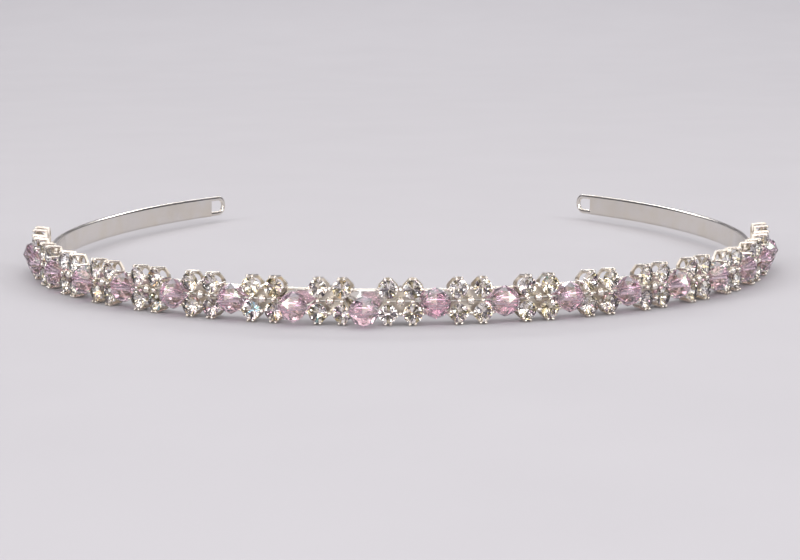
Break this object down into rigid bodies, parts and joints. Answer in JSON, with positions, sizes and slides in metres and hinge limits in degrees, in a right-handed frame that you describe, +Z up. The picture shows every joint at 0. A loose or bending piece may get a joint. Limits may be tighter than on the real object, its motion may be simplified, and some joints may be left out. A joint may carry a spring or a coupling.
{
  "type": "tiara",
  "caption": "Narrow open head band of bright metal with four-stone flower clusters and round faceted pink crystals strung in turn round its front, and a small wire loop at each end.",
  "frame": {"origin": "middle of the bounding box's bottom face, on the surface that the tiara lies on", "axes": "+Z up, across the band's strip; the front with the clusters faces -Y and the two open ends point towards +Y; +X is the wearer's left"},
  "size_m": [0.1364, 0.1338, 0.0076],
  "materials": {
    "band_metal": "polished, rhodium bright",
    "setting_metal": "cast and tumbled bright",
    "wire_metal": "drawn wire, bright",
    "clear_stone": "cut and polished clear stone",
    "pink_crystal": "cut and polished rose crystal"
  },
  "bodies": {
    "root": {"band": "band_metal", "wire": "wire_metal", "setting_1": "setting_metal", "setting_2": "setting_metal", "setting_3": "setting_metal", "setting_4": "setting_metal", "setting_5": "setting_metal", "setting_6": "setting_metal", "setting_7": "setting_metal", "setting_8": "setting_metal", "setting_9": "setting_metal", "setting_10": "setting_metal", "setting_11": "setting_metal", "setting_12": "setting_metal", "setting_13": "setting_metal", "setting_14": "setting_metal", "setting_15": "setting_metal", "setting_16": "setting_metal", "setting_17": "setting_metal", "setting_18": "setting_metal", "setting_19": "setting_metal", "stones_1": "clear_stone", "stones_2": "clear_stone", "stones_3": "clear_stone", "stones_4": "clear_stone", "stones_5": "clear_stone", "stones_6": "clear_stone", "stones_7": "clear_stone", "stones_8": "clear_stone", "stones_9": "clear_stone", "stones_10": "clear_stone", "stones_11": "clear_stone", "stones_12": "clear_stone", "stones_13": "clear_stone", "stones_14": "clear_stone", "stones_15": "clear_stone", "stones_16": "clear_stone", "stones_17": "clear_stone", "stones_18": "clear_stone", "stones_19": "clear_stone", "crystal_1": "pink_crystal", "crystal_2": "pink_crystal", "crystal_3": "pink_crystal", "crystal_4": "pink_crystal", "crystal_5": "pink_crystal", "crystal_6": "pink_crystal", "crystal_7": "pink_crystal", "crystal_8": "pink_crystal", "crystal_9": "pink_crystal", "crystal_10": "pink_crystal", "crystal_11": "pink_crystal", "crystal_12": "pink_crystal", "crystal_13": "pink_crystal", "crystal_14": "pink_crystal", "crystal_15": "pink_crystal", "crystal_16": "pink_crystal", "crystal_17": "pink_crystal", "crystal_18": "pink_crystal"}
  },
  "joints": []
}
